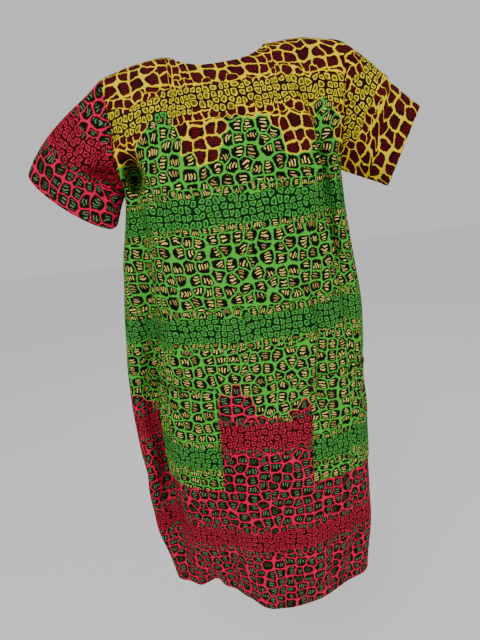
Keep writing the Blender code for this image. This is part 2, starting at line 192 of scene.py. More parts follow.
def fold_depth(folds, along, across, period):
    """Depth of all the folds at once: each is a bell across its line, between its own rows."""
    depth = np.zeros(np.broadcast(along, across).shape)
    for rows in folds.values():
        place, middle, width, amount = (np.array(column) for column in zip(*rows))
        off = across - smooth(place, middle, along)
        off = (off + period / 2) % period - period / 2
        bell = np.exp(-((off / smooth(place, width, along)) ** 2))
        inside = (along >= place.min() - NEAR) & (along <= place.max() + NEAR)
        depth += np.where(inside, smooth(place, amount, along) * bell, 0.0)
    return depth


def body(side, u, station):
    """Point of the front or the back.

    u goes from the wearer's right edge (-1) to the left one (1), and station from the shoulder
    seams (0) to the underarms (1) and the hem (2). In the yoke the side view is a quarter of an
    ellipse from the ridge of the shoulder to the full depth at the underarm, begun further down
    at the neckline. Below, each section is half an ellipse, with its folds pressed in. The grain
    of the front swings to the wearer's left, and the whole body turns a little as it goes down.
    """
    u, station = np.broadcast_arrays(np.asarray(u, float), np.asarray(station, float))
    facing = -1.0 if side == "front" else 1.0
    yoke = np.clip(station, 0, 1)
    skirt = np.clip(station - 1, 0, 1)

    arc = np.radians(row_of(YOKE, "arc", yoke))
    right_x = row_of(YOKE, "right_x", yoke)
    left_x = row_of(YOKE, "left_x", yoke)
    centre = (left_x + right_x) / 2
    reach = (left_x - right_x) / 2 / np.sin(arc)
    ridge_x = centre + reach * np.sin(arc * u)
    ridge = row_of(RIDGE, "z", ridge_x)
    neck = np.clip(1 - abs(ridge_x / NECK_HALF) ** NECK_ROUND, 0, 1)
    neck = neck * (abs(u) <= NECK_SHARE + NEAR)
    height = ridge - UNDERARM_Z
    start = np.arccos(1 - NECK_DROP[side] * neck / height)
    bow = start + (np.pi / 2 - start) * yoke
    z = ridge - height * (1 - np.cos(bow))
    z = np.where(station > 1, UNDERARM_Z + (HEM_Z - UNDERARM_Z) * skirt, z)

    down = np.clip(z / UNDERARM_Z, 0, 1)
    grain = row_of(SECTIONS, "grain", z) * down if side == "front" else 0.0
    lean = grain * (1 - u**2) * yoke
    round_by = arc * u + np.radians(lean)
    middle = row_of(SECTIONS, "middle_x", z)
    half = row_of(SECTIONS, "half_width", z)
    full = row_of(SECTIONS, side, z)
    edge = row_of(YOKE, "reach", yoke)
    x_yoke = centre + reach * np.sin(round_by)
    x = np.where(station > 1, middle + half * np.sin(round_by), x_yoke)
    across = (np.cos(round_by) - np.cos(arc)) / (1 - np.cos(arc))
    y = facing * (edge + (full * np.sin(bow) - edge) * across)

    angle = 90 * u + lean
    angle = angle if side == "front" else 180 - angle
    facet = np.cos(np.radians(angle))
    press = fold_depth(FOLDS, z, angle, FULL_TURN) * np.clip(station / FOLDS_FULL_AT, 0, 1)
    x = x - FOLD_SIDEWAYS * np.sin(np.radians(angle)) * press
    y = y + np.tanh(FOLD_FACING * facet) / np.tanh(FOLD_FACING) * press

    turn = np.radians(row_of(SECTIONS, "turn", z)) * down
    y = y + row_of(SECTIONS, "middle_y", z) * down
    off = x - middle
    x = middle + off * np.cos(turn) + y * np.sin(turn)
    y = y * np.cos(turn) - off * np.sin(turn)
    return np.stack([x, y, z], axis=-1)


# Cut, creases and wall of a panel
# Wax cotton is a firm plain weave: it takes long soft creases, and a plain seam pulls it in a
# little on each side. All panels are laid out, creased and given their thickness in one way.
CLOTH = 0.0009
UNDERARM_DOWN = 0.250
SEAM_PULL = 0.0011
SEAM_WIDTH = 0.0035
PUCKER = 0.0005
PUCKER_PITCH = 0.021
PUCKER_FAR = 0.006
PUCKER_WIDE = 0.007
PUCKER_SWAY = {"reach": 1.7, "beat": 0.37}
PUCKER_SWELL = {"share": 0.4, "beat": 0.23}
CREASE_BEND = 0.8
CREASE_PAST = 0.15
CREASE_FADE = 3.5
RIDGE_HIGH = 0.55
RIDGE_FAR = 1.9
RIDGE_WIDE = 1.2
CUT_SPREAD = 0.05
TURN_GAP = 0.00105
TURN_ANGLES = (45.0, 90.0, 135.0)
TURN_ROWS = 6
BEND_LONG = 0.0008
# Hollows: at the wearer's right armpit the front and the sleeve dip in together, into a dark pit
HOLLOW_PANELS = ("front", "sleeve_right")
HOLLOW_BLUNT = 4
HOLLOWS = (
    # middle, reach, press
    ((-0.195, -0.050, -0.165), (0.030, 0.060, 0.032), (-0.006, 0.000, 0.000)),
    ((-0.166, -0.050, -0.189), (0.017, 0.080, 0.029), (-0.008, 0.070, 0.000)),
)
UNEVEN = 0.0005
# Uneven waves: across and down (radians a metre), and phase
UNEVEN_WAVES = ((23, 17, 0.3), (-31, 26, 1.7), (47, -13, 4.0), (11, 58, 2.2), (-67, -29, 5.1))


def lengths(grid, axis=0):
    """Lengths along the columns of a grid, or along its rows, added up from 0."""
    return added_up(np.linalg.norm(np.diff(grid, axis=axis), axis=-1), axis)


def added_up(steps, axis=0):
    """Steps added up from 0."""
    return np.insert(np.cumsum(steps, axis=axis), 0, 0.0, axis=axis)


def edges_far(cut):
    """How far each point lies from the nearer side edge of its cut, and from the top edge."""
    across, down = cut[..., 0], cut[..., 1]
    return np.minimum(across - across[:, :1], across[:, -1:] - across), down - down[:1]


def flat_cut(grid, middle, level):
    """Map of a grid on its flat cut: across from the middle column, and down from the shoulders.

    Lengths along the rows and the columns of the grid are added up. The widths are then evened
    out down the cloth with a bell, because threads run straight through a fold.
    """
    across = lengths(grid, 1)
    across = across - across[:, middle:middle + 1]
    down = lengths(grid)
    down = down - down[level] + UNDERARM_DOWN
    height = down[:, middle]
    weight = np.exp(-(((height[:, None] - height[None, :]) / CUT_SPREAD) ** 2))
    across = (weight / weight.sum(axis=1, keepdims=True)) @ across
    return np.stack([across, down], axis=-1)


def surface_normals(grid):
    """Unit normals of a grid of points: on the front they point forward."""
    down = np.gradient(grid, axis=0)
    across = np.gradient(grid, axis=1)
    return unit(np.cross(down, across))


def crease_relief(rows, cut):
    """Relief of soft creases on the cut: a trough along a line, with a lower ridge beside it.

    Each row gives the line's two ends, its half width and its depth, in millimetres. The depth
    fades towards both ends, and the line bends a little, as a hand-drawn stroke would.
    """
    relief = np.zeros(cut.shape[:2])
    for x0, y0, x1, y1, width, depth in np.array(rows) / 1000:
        start = np.array([x0, y0])
        run = np.array([x1 - x0, y1 - y0])
        length = np.hypot(*run)
        along = (cut - start) @ run / length**2
        off = (cut - start) @ np.array([-run[1], run[0]]) / length
        off = off + width * CREASE_BEND * np.sin(np.pi * np.clip(along, 0, 1)) ** 2
        fade = np.minimum(along + CREASE_PAST, 1 + CREASE_PAST - along)
        fade = np.clip(fade * CREASE_FADE, 0, 1)
        fade = fade**2 * (3 - 2 * fade)
        trough = np.exp(-((off / width) ** 2))
        ridge = np.exp(-(((off - RIDGE_FAR * width) / (RIDGE_WIDE * width)) ** 2))
        relief += depth * fade * (RIDGE_HIGH * ridge - trough)
    return relief


def seam_relief(far, along):
    """Pull of a seam: the cloth dips towards it and puckers softly beside it."""
    dip = -SEAM_PULL * np.exp(-((far / SEAM_WIDTH) ** 2))
    beat = along * (2 * np.pi / PUCKER_PITCH)
    wave = np.sin(beat + PUCKER_SWAY["reach"] * np.sin(PUCKER_SWAY["beat"] * beat))
    swell = PUCKER_SWELL["share"] * np.sin(PUCKER_SWELL["beat"] * beat + 1)
    wave = wave * (1 - PUCKER_SWELL["share"] + swell)
    return dip + PUCKER * wave * np.exp(-(((far - PUCKER_FAR) / PUCKER_WIDE) ** 2))


def hollow(grid, name):
    """Presses the hollows in: each is a blunt bell round its middle, the same on both panels."""
    for middle, reach, press in HOLLOWS if name in HOLLOW_PANELS else ():
        far = np.linalg.norm((grid - np.array(middle)) / np.array(reach), axis=-1)
        grid = grid + np.exp(-(far**HOLLOW_BLUNT))[..., None] * np.array(press)
    return grid


def uneven_relief(cut):
    """Slow waves of worn cotton: a few sines of the cut in different directions."""
    return sum(UNEVEN * np.sin(cut @ np.array([x, y]) + phase) for x, y, phase in UNEVEN_WAVES)


def climb(rows, cut, deep, count):
    """Values of a grid at even depths up from its last row, as count rows the last one at deep."""
    length = lengths(cut[::-1])
    depths = np.linspace(0, deep, count + 1)[1:]
    values = np.empty((count, *rows.shape[1:]))
    for column in range(rows.shape[1]):
        for axis in range(rows.shape[2]):
            line = rows[::-1, column, axis]
            values[:, column, axis] = np.interp(depths, length[:, column], line)
    return values


def turn_in(grid, cut, outward, deep):
    """Hem at a grid's last row: it bends to the inside and climbs back up behind the cloth."""
    down = unit(grid[-1] - grid[-2])
    bend = []
    for angle in np.radians(TURN_ANGLES):
        inward = outward[-1] * (TURN_GAP / 2) * (1 - np.cos(angle))
        bend.append(grid[-1] - inward + down * (TURN_GAP / 2) * np.sin(angle))
    behind = climb(grid, cut, deep, TURN_ROWS) - climb(outward, cut, deep, TURN_ROWS) * TURN_GAP
    places = np.concatenate([[grid[-1]], bend, behind])
    flat = np.linspace(0, BEND_LONG, len(bend) + 1)
    depth = np.concatenate([flat, np.linspace(0, deep, TURN_ROWS + 1)[1:]])
    way = unit(cut[-1] - cut[-2])
    return places, cut[-1] + depth[:, None, None] * way


def add_mesh(name, points, faces):
    """A new object of points and faces."""
    mesh = bpy.data.meshes.new(name)
    mesh.from_pydata(points, [], faces)
    return add_object(name, mesh)


def lay_panel(name, sheets, closed=False):
    """Mesh of one or more grids with their cuts as a UV map, in metres.

    The grids of a closed panel go round, and share their first column with their last.
    """
    points, faces, flats = [], [], []
    count = 0
    for grid, cut in sheets:
        rows, columns = grid.shape[:2]
        kept = columns - 1 if closed else columns
        index = count + np.arange(rows * kept).reshape(rows, kept)
        right = np.roll(index, -1, axis=1) if closed else index[:, 1:]
        left = index if closed else index[:, :-1]
        faces.append(np.stack([left[:-1], left[1:], right[1:], right[:-1]], axis=-1).reshape(-1, 4))
        flats.append(np.stack([cut[:-1, :-1], cut[1:, :-1], cut[1:, 1:], cut[:-1, 1:]], axis=2))
        points.append(grid[:, :kept].reshape(-1, 3))
        count += rows * kept
    piece = add_mesh(name, np.concatenate(points).tolist(), np.concatenate(faces).tolist())
    flat = np.concatenate([f.reshape(-1) for f in flats]).astype(np.float32)
    piece.data.uv_layers.new(name="cut").data.foreach_set("uv", flat)
    piece.data.shade_smooth()
    wall = piece.modifiers.new("wall", "SOLIDIFY")
    wall.thickness = CLOTH
    wall.offset = 0.0
    return piece


# Wax print
# Cotton printed on both faces with a common animal-skin pattern in three colour zones: yellow at
# the shoulders, green, and red at the foot. Rows of small rings run across between large cells,
# and the zones meet in stepped peaks that follow the outlines of the cells.
BLOCK = {"size": 0.0220, "line": 0.0014, "random": 0.60, "round": 0.72}
STEP = {"size": 0.0150, "line": 0.0011, "random": 0.60, "round": 0.72}
RING = {"size": 0.0117, "random": 0.54, "round": 0.66}
ROUNDING = 0.30
STEP_MORE = 0.0140
BOW_MOST = 0.05
RING_NET = 0.0014
RING_BRIGHT = 0.0027
RING_BLOT = 0.0040
BLOT_DARK = 0.7
# Noise bends the cut, and frays the outlines of the large cells, rings, blots and ticks
WOBBLE = {"scale": 70.0, "detail": 1.5, "reach": 0.0075}
FRAY = {"scale": 380.0, "detail": 1.0, "line": 0.0024, "ring": 0.0010, "blot": 0.0060, "tick": 0.16}
# Ticks: widths and slants are shares of the cell, and margins are lengths in from its line
TICK = {"half_wide": 0.22, "wider_yellow": 0.1, "in_cell": 4.3, "slant": 0.7, "shift": 6.0}
TICK_PEAK = {"reach": 0.8, "level": 0.4}
TICK_SWAY = {"reach": 0.05, "beat": 17.0}
TICK_MARGIN = {"green": 0.0025, "yellow": 0.0010, "less_step": 0.0009}
UPRIGHT = {"beat": 41.0, "over": 0.5}
FADED = {"chance": 5.0, "other": 3.0}
YELLOW_GROUND = 0.8
WORN = {"scale": 9.0, "detail": 3.0, "most": 0.015, "dye": (0.30, 0.26, 0.20)}
# Soft edges: where a mark starts to show, and where it is full
LINE_EDGE = (-0.0003, 0.0003)
BLOT_EDGE = (-0.0002, 0.0005)
TICK_EDGE = (-0.0002, 0.0003)
TICK_END = (-0.01, 0.03)
TICK_RISE = (0.0, 0.6)
FADED_RISE = (0.2, 0.9)
WORN_RISE = (0.35, 0.75)
DYES = {
    # green, yellow, red
    "line": ((0.080, 0.500, 0.045), (1.000, 0.700, 0.002), (0.780, 0.006, 0.065)),
    "ground": ((0.005, 0.006, 0.002), (0.022, 0.003, 0.002), (0.005, 0.006, 0.002)),
    "tick": ((1.000, 0.780, 0.190), (0.130, 0.004, 0.010), (0.130, 0.260, 0.120)),
    "faded tick": ((0.520, 0.340, 0.100), (0.050, 0.003, 0.004), (0.040, 0.100, 0.035)),
    "ring net": ((0.002, 0.026, 0.005), (0.016, 0.007, 0.001), (0.050, 0.001, 0.002)),
    "ring": ((0.110, 0.450, 0.065), (1.000, 0.800, 0.040), (0.640, 0.035, 0.075)),
    "ring core": ((0.022, 0.210, 0.035), (0.260, 0.210, 0.008), (0.270, 0.004, 0.020)),
}
CUT_WIDE = 0.45
CUT_LONG = 1.25
# Lines straight across a cut, along its top and along its foot, in millimetres
TOP_LINE = ((-450, 0), (450, 0))
FOOT_LINE = ((-450, 1250), (450, 1250))
COTTON_ROUGH = 0.85
COTTON_GLOSS = 0.05
THREAD_PITCH = 0.0006
WEAVE = {"strength": 0.25, "distance": 0.00015, "height": 0.5}
FLUFF = {"scale": 900.0, "detail": 2.0}


class Value:
    """A number socket of a material that can be used in Python sums."""

    def __init__(self, paint, socket):
        self.paint = paint
        self.socket = socket

    def sum(self, operation, *parts):
        """Adds a Math node on these values."""
        sockets = dict(enumerate(parts))
        return self.paint.add("ShaderNodeMath", {"operation": operation}, sockets)["Value"]

    def __add__(self, other):
        return self.sum("ADD", self, other)

    def __sub__(self, other):
        return self.sum("SUBTRACT", self, other)

    def __rsub__(self, other):
        return self.sum("SUBTRACT", other, self)

    def __mul__(self, other):
        return self.sum("MULTIPLY", self, other)

    def __gt__(self, other):
        return self.sum("GREATER_THAN", self, other)

    def __lt__(self, other):
        return self.sum("LESS_THAN", self, other)

    def __abs__(self):
        return self.sum("ABSOLUTE", self)

    __radd__ = __add__
    __rmul__ = __mul__

    def sine(self):
        """Sine of the value, in radians."""
        return self.sum("SINE", self)

    def rise(self, low, high):
        """0 below low, 1 above high and straight between."""
        sockets = {"Value": self, "From Min": low, "From Max": high}
        return self.paint.add("ShaderNodeMapRange", {"clamp": True}, sockets)["Result"]


class Paint:
    """A new material, with one method that adds any node to it."""

    def __init__(self, name, roughness):
        self.material = bpy.data.materials.new(name)
        self.material.use_nodes = True
        self.tree = self.material.node_tree
        self.shader = self.tree.nodes["Principled BSDF"]
        self.feed("Roughness", roughness)

    def add(self, kind, settings=None, sockets=None):
        """Adds a node, sets it, then fills its sockets. Gives its outputs by name."""
        node = self.tree.nodes.new(kind)
        for key, value in (settings or {}).items():
            if key == "stops":
                elements = node.color_ramp.elements
                while len(elements) < len(value):
                    elements.new(1.0)
                for element, (place, height) in zip(elements, value):
                    element.position = place
                    element.color = (height, height, height, 1.0)
            elif key == "between":
                node.color_ramp.interpolation = value
            else:
                setattr(node, key, value)
        for key, value in (sockets or {}).items():
            self.join(node.inputs[key], value)
        outputs = [output for output in node.outputs if output.enabled]
        return {o.name: Value(self, o) if o.type == "VALUE" else o for o in outputs}

    def feed(self, key, value):
        """Feeds a socket of the shader."""
        self.join(self.shader.inputs[key], value)

    def join(self, socket, value):
        """Links a socket to what feeds it, or sets it."""
        if isinstance(value, Value):
            value = value.socket
        if isinstance(value, bpy.types.NodeSocket):
            self.tree.links.new(value, socket)
        elif socket.type == "RGBA":
            socket.default_value = (*value, 1.0)
        else:
            socket.default_value = value

    def mix(self, share, first, second):
        """Colour or vector between two others: the first at 0, the second at 1."""
        sockets = {0: share, 6: first, 7: second}
        return self.add("ShaderNodeMix", {"data_type": "RGBA"}, sockets)["Result"]

    def vector(self, operation, first, second):
        """Vector Math on two vectors, or on a vector and a scale."""
        sockets = {0: first, "Scale" if operation == "SCALE" else 1: second}
        return self.add("ShaderNodeVectorMath", {"operation": operation}, sockets)["Vector"]

    def split(self, vector):
        """X and Y of a vector."""
        parts = self.add("ShaderNodeSeparateXYZ", None, {0: vector})
        return parts["X"], parts["Y"]

    def ramp(self, value, stops, between="LINEAR"):
        """Number from a ramp over 0 to 1."""
        settings = {"between": between, "stops": stops}
        colour = self.add("ShaderNodeValToRGB", settings, {"Fac": value})["Color"]
        return self.add("ShaderNodeSeparateColor", None, {0: colour})["Red"]

    def noise(self, place, grain):
        """Flat noise: its value from 0 to 1, and a colour of three such values."""
        sockets = {"Vector": place, "Scale": grain["scale"], "Detail": grain["detail"]}
        outputs = self.add("ShaderNodeTexNoise", {"noise_dimensions": "2D"}, sockets)
        return outputs["Fac"], outputs["Color"]


def between(share, first, second):
    """Number that goes from the first to the second as the share goes from 0 to 1."""
    return first + (second - first) * share


def row_stops(rings, more):
    """Stops of a ramp that is 1 within each ring row and a little more, and 0 elsewhere."""
    stops = [(0.0, 0.0)]
    for row, half in rings:
        stops += [((row - half - more) / CUT_LONG, 1.0), ((row + half + more) / CUT_LONG, 0.0)]
    return stops


def edge_stops(points, most=CUT_LONG):
    """Stops of a ramp that gives, across the cut, how far down a line lies, as a share of most."""
    return [((x / 1000 + CUT_WIDE) / (2 * CUT_WIDE), y / 1000 / most) for x, y in points]


def find_cells(paint, bent, cell):
    """Cells of one size on the bent cut: depth from the rounded edge, middle and chance colour."""
    scaled = paint.vector("SCALE", bent, 1 / cell["size"])
    sockets = {"Vector": scaled, "Scale": 1.0, "Randomness": cell["random"]}
    near = {"voronoi_dimensions": "2D", "feature": "F1"}
    edge = {"voronoi_dimensions": "2D", "feature": "DISTANCE_TO_EDGE"}
    nearest = paint.add("ShaderNodeTexVoronoi", near, sockets)
    rim = paint.add("ShaderNodeTexVoronoi", edge, sockets)["Distance"]
    depth = rim.sum("SMOOTH_MIN", rim, cell["round"] - nearest["Distance"], ROUNDING) * cell["size"]
    middle = paint.vector("SCALE", nearest["Position"], cell["size"])
    return depth, middle, nearest["Color"]


def wax_cotton(name, rings, yellow_to, red_from, shift=(0.0, 0.0), bow=TOP_LINE):
    """Material of one panel.

    The cut is bent a little by noise, and cells of three sizes are found on it. A cell belongs
    whole to a ring row or not, and whole to one colour zone, by where its own middle lies, so
    rows and zones end on the outlines of cells.
    """
    paint = Paint(name, COTTON_ROUGH)
    cut = paint.add("ShaderNodeUVMap", {"uv_map": "cut"})["UV"]
    place = paint.vector("ADD", cut, (*shift, 0.0))
    _, wobble = paint.noise(place, WOBBLE)
    wobble = paint.vector("SUBTRACT", wobble, (0.5, 0.5, 0.5))
    bent = paint.vector("ADD", place, paint.vector("SCALE", wobble, WOBBLE["reach"]))

    block_depth, block_middle, block_chance = find_cells(paint, bent, BLOCK)
    step_depth, step_middle, step_chance = find_cells(paint, bent, STEP)
    ring_depth, ring_middle, _ = find_cells(paint, bent, RING)

    def on_cut(middle):
        """Where a cell's middle lies across and down the cut, as shares of its whole size."""
        x, y = paint.split(middle)
        across = (x + (CUT_WIDE - shift[0])) * (0.5 / CUT_WIDE)
        return across, (y - shift[1]) * (1 / CUT_LONG)

    def in_row(middle, more):
        """1 for a cell whose middle is in a ring row: the rows bow, less and less further down."""
        across, down = on_cut(middle)
        dip = paint.ramp(across, edge_stops(bow, BOW_MOST)) * (BOW_MOST / CUT_LONG) * (1.0 - down)
        return paint.ramp(down - dip, row_stops(rings, more), "CONSTANT")

    step = in_row(step_middle, STEP_MORE)
    ring = in_row(ring_middle, 0.0)
    cell_middle = paint.mix(step, block_middle, step_middle)
    across, down = on_cut(paint.mix(ring, cell_middle, ring_middle))
    yellow = down < paint.ramp(across, edge_stops(yellow_to))
    red = down > paint.ramp(across, edge_stops(red_from))

    def dye(kind):
        """The zone's colour out of three."""
        in_green, in_yellow, in_red = DYES[kind]
        return paint.mix(red, paint.mix(yellow, in_green, in_yellow), in_red)

    # Large cells: a bright network, a frayed dark ground, and a ladder of slanting ticks
    chance, other = paint.split(paint.mix(step, block_chance, step_chance))
    fray, _ = paint.noise(place, FRAY)
    fray = fray - 0.5
    depth = between(step, block_depth, step_depth) + fray * FRAY["line"]
    depth = depth - between(step, BLOCK["line"], STEP["line"])
    grow = between(step, 1 / BLOCK["size"], 1 / STEP["size"])
    off_x, off_y = paint.split(paint.vector("SUBTRACT", bent, cell_middle))
    off_x = off_x * grow
    off_y = off_y * grow
    upright = (chance * UPRIGHT["beat"]).sine() > UPRIGHT["over"]
    swapped = (off_x - off_y) * upright
    off_x, off_y = off_x - swapped, off_y + swapped
    slant = off_y + off_x * (chance - 0.5) * TICK["slant"]
    slant = slant + abs(off_x) * (other - TICK_PEAK["level"]) * TICK_PEAK["reach"]
    wave = (slant * (TICK["in_cell"] * 2 * np.pi) + chance * TICK["shift"]).sine()
    sway = (off_y * TICK_SWAY["beat"] + other * TICK["shift"]).sine() * TICK_SWAY["reach"]
    sway = sway + fray * FRAY["tick"]
    half_wide = TICK["half_wide"] + yellow * TICK["wider_yellow"]
    margin = between(yellow, TICK_MARGIN["green"], TICK_MARGIN["yellow"])
    margin = margin - step * TICK_MARGIN["less_step"]
    ticks = (half_wide - abs(off_x + sway)).rise(*TICK_END) * (depth - margin).rise(*TICK_EDGE)
    faded = (chance * FADED["chance"] + other * FADED["other"]).sine().rise(*FADED_RISE)
    tick = paint.mix(faded, dye("tick"), dye("faded tick"))
    ground = paint.mix(ticks * yellow * YELLOW_GROUND, dye("ground"), dye("faded tick"))
    inside = paint.mix(ticks * wave.rise(*TICK_RISE), ground, tick)
    cells = paint.mix(depth.rise(*LINE_EDGE), dye("line"), inside)

    # Rings: a dark network, bright rings, and a dimmer middle with a dark blot
    depth = ring_depth + fray * FRAY["ring"]
    rows = paint.mix((depth - RING_NET).rise(*LINE_EDGE), dye("ring net"), dye("ring"))
    rows = paint.mix((depth - RING_BRIGHT).rise(*LINE_EDGE), rows, dye("ring core"))
    blot = (depth + fray * FRAY["blot"] - RING_BLOT).rise(*BLOT_EDGE) * BLOT_DARK
    rows = paint.mix(blot, rows, dye("ring net"))

    worn, _ = paint.noise(place, WORN)
    worn = worn.rise(*WORN_RISE) * WORN["most"]
    printed = paint.mix(worn, paint.mix(ring, cells, rows), WORN["dye"])
    paint.feed("Base Color", printed)

    x, y = paint.split(cut)
    beat = 2 * np.pi / THREAD_PITCH
    fluff, _ = paint.noise(place, FLUFF)
    height = (x * beat).sine() * (y * beat).sine() * WEAVE["height"] + fluff
    sockets = {"Strength": WEAVE["strength"], "Distance": WEAVE["distance"], "Height": height}
    paint.feed("Normal", paint.add("ShaderNodeBump", None, sockets)["Normal"])
    paint.feed("Specular IOR Level", COTTON_GLOSS)
    return paint.material


def dress(piece, material, node):
    """Gives a panel its material, and makes it stand for its CAD node."""
    piece.data.materials.append(material)
    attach(piece, "root")
    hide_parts(node)


# Front and back
# Two wide panels, each cut in one piece and joined by plain seams at the shoulders and sides. The
# grids have more columns and rows at the seams, the pockets and the hem, where the form turns.
YOKE_ROWS = 60
CHEST_ROWS = 56
POCKET_TALL = 38
POCKET_ROWS = slice(YOKE_ROWS + CHEST_ROWS, YOKE_ROWS + CHEST_ROWS + POCKET_TALL + 1)
STATION_SPANS = (
    # from, rows to the next
    (0.0, YOKE_ROWS),
    (1.0, CHEST_ROWS),
    (1 + (POCKET_TOP_Z - UNDERARM_Z) / (HEM_Z - UNDERARM_Z), POCKET_TALL),
    (1 + (POCKET_FOOT_Z - UNDERARM_Z) / (HEM_Z - UNDERARM_Z), 40),
    (1.960, 14),
    (2.0, 0),
)
FRONT_SPANS = (
    # from, columns to the next
    (-1.0, 28), (-0.660, 18), (-NECK_SHARE, 10), (-0.2375, 18), (0.0, 18), (0.2375, 10),
    (NECK_SHARE, 40), (0.905, 10), (1.0, 0),
)
BACK_SPANS = ((-1.0, 28), (-0.660, 18), (-NECK_SHARE, 40), (NECK_SHARE, 40), (0.905, 10), (1.0, 0))
FRONT_CREASES = (
    # across, down, to across, to down, half width, depth: in millimetres
    (90, 55, 185, 85, 10, 4), (85, 75, 150, 120, 12, 3), (-95, 60, -165, 85, 11, 2.8),
    (-205, 190, -125, 330, 14, 4.5), (-175, 240, -90, 420, 18, 3), (138, 115, 160, 250, 9, 8),
    (152, 210, 176, 400, 10, 15), (171, 350, 180, 520, 11, 7), (40, 240, -40, 330, 22, 1.8),
    (-20, 420, 120, 450, 20, 1.6), (-285, 900, -262, 540, 18, 14), (106, 455, 97, 650, 9, 10),
    (-345, 1100, -330, 740, 16, 11), (228, 560, 205, 700, 14, 3.5), (-100, 860, -120, 1130, 14, 4),
    (30, 880, 10, 1150, 13, 3.5), (110, 860, 130, 1140, 18, 3.5), (190, 900, 175, 1120, 14, 3),
    (-255, 900, -200, 1060, 16, 4), (-300, 420, -315, 700, 14, 3), (60, 560, 50, 760, 24, 1.6),
)
BACK_CREASES = (
    (90, 50, 180, 80, 11, 3.4), (-90, 55, -175, 90, 11, 3.4), (195, 205, 120, 330, 14, 4.2),
    (-200, 200, -130, 320, 14, 4.2), (20, 260, -50, 340, 22, 1.8), (-160, 420, -190, 640, 16, 3.6),
    (150, 460, 170, 700, 16, 3.6), (40, 520, 20, 800, 20, 2.4), (-70, 700, -90, 1140, 18, 3.8),
    (90, 760, 120, 1140, 18, 3.8), (225, 820, 210, 1120, 14, 3.2),
    (-235, 860, -220, 1120, 14, 3.2),
)
NECK_DEEP = 0.007
HEM_DEEP = 0.025
NECK_PULL = 0.5
HEM_PULL = 0.6
PLAIN_EDGE = 0.03


def spread(spans):
    """Places along a row of spans, each divided evenly."""
    places = [spans[0][0]]
    for (start, count), (end, _) in zip(spans, spans[1:]):
        places += list(start + (end - start) * np.arange(1, count + 1) / count)
    return np.array(places)


stations = spread(STATION_SPANS)
shares = {"front": spread(FRONT_SPANS), "back": spread(BACK_SPANS)}
grids = {}
cuts = {}
for side, creases in (("front", FRONT_CREASES), ("back", BACK_CREASES)):
    grid = body(side, shares[side][None, :], stations[:, None])
    middle = int(np.argmin(abs(shares[side])))
    cut = flat_cut(grid, middle, YOKE_ROWS)
    outward = surface_normals(grid) * (1 if side == "front" else -1)
    edge_far, top_far = edges_far(cut)
    hem_far = cut[-1:, :, 1] - cut[..., 1]
    in_neck = abs(shares[side]) < NECK_SHARE - NEAR
    relief = crease_relief(creases, cut) + uneven_relief(cut)
    relief = relief * np.clip(edge_far / PLAIN_EDGE, 0, 1) + seam_relief(edge_far, cut[..., 1])
    neck_hem = seam_relief(abs(top_far - NECK_DEEP), cut[..., 0]) * NECK_PULL
    relief += np.where(in_neck, neck_hem, seam_relief(top_far, cut[..., 0]))
    relief += seam_relief(abs(hem_far - HEM_DEEP), cut[..., 0]) * HEM_PULL
    creased = grid + outward * relief[..., None]
    grids[side] = hollow(creased, side)
    cuts[side] = flat_cut(creased, middle, YOKE_ROWS)
    # The print runs down the near wall of a hollow, and back up the far one
    deep = np.linalg.norm(grids[side] - creased, axis=-1)
    cuts[side][..., 0] += np.sign(cuts[side][..., 0]) * deep


# Sleeves
# Short set-in sleeves, each one piece with a seam under the arm and a turned hem at the cuff. The
# cap is eased into the armhole, and the weight of the cloth drags soft folds from the underarm.
SLEEVES = {
    "sleeve_right": {
        "side": -1.0, "outer": (-0.365, 0.022, -0.159), "inner": (-0.222, -0.012, -0.275),
        "half_thick": 0.034, "front_drop": 0.013, "swing": 8.0, "puff": 0.007,
        "shoulder_lift": 0.20, "straight": 0.0,
    },
    "sleeve_left": {
        "side": 1.0, "outer": (0.334, -0.040, -0.130), "inner": (0.279, -0.030, -0.256),
        "half_thick": 0.052, "front_drop": -0.005, "swing": -14.0, "puff": 0.003,
        "shoulder_lift": 0.10, "straight": 0.80,
    },
}
# Folds: "along" goes from the armhole (0) to the cuff (1), and "round" from the underarm (0) over
# the front to the shoulder (0.5) and down the back to the underarm (1)
SLEEVE_FOLDS = {
    # along, round, width, depth
    "sleeve_right": {
        "armpit drag": (
            (0.00, 0.10, 0.05, 0.0), (0.25, 0.14, 0.05, 0.014), (0.60, 0.20, 0.06, 0.010),
            (0.90, 0.24, 0.07, 0.0),
        ),
        "back drag": (
            (0.10, 0.800, 0.06, 0.000), (0.50, 0.760, 0.07, 0.010), (0.95, 0.740, 0.08, 0.000),
        ),
    },
    "sleeve_left": {
        "front hollow": (
            (0.10, 0.180, 0.06, 0.000), (0.50, 0.210, 0.07, 0.012), (0.95, 0.240, 0.08, 0.002),
        ),
        "back drag": (
            (0.10, 0.780, 0.06, 0.000), (0.55, 0.760, 0.07, 0.010), (0.95, 0.750, 0.08, 0.000),
        ),
    },
}
SLEEVE_ROWS = 48
CUFF_DOWN = 0.300
CUFF_DEEP = 0.018
PLAIN_SLEEVE_EDGE = 0.02
SLEEVE_CREASES = {
    # across from the shoulder line, down, to across, to down, half width, depth: in millimetres
    "sleeve_right": (
        (-218, 224, -135, 222, 10, 17), (-120, 262, -50, 225, 10, 4),
        (-40, 120, -85, 190, 10, 2.5), (60, 140, 120, 240, 11, 3),
    ),
    "sleeve_left": (
        (-25, 236, -105, 259, 7, 5.5), (-80, 140, -110, 260, 9, 2.6), (-10, 180, -50, 290, 8, 2),
        (60, 140, 120, 240, 11, 3),
    ),
}


def armhole(side):
    """Armhole loop: from the underarm up the front edge to the shoulder and down the back edge."""
    column = 0 if side < 0 else -1
    edge = {name: body(name, side, stations[:YOKE_ROWS + 1]) for name in ("front", "back")}
    return np.concatenate([edge["front"][::-1], edge["back"][1:]])


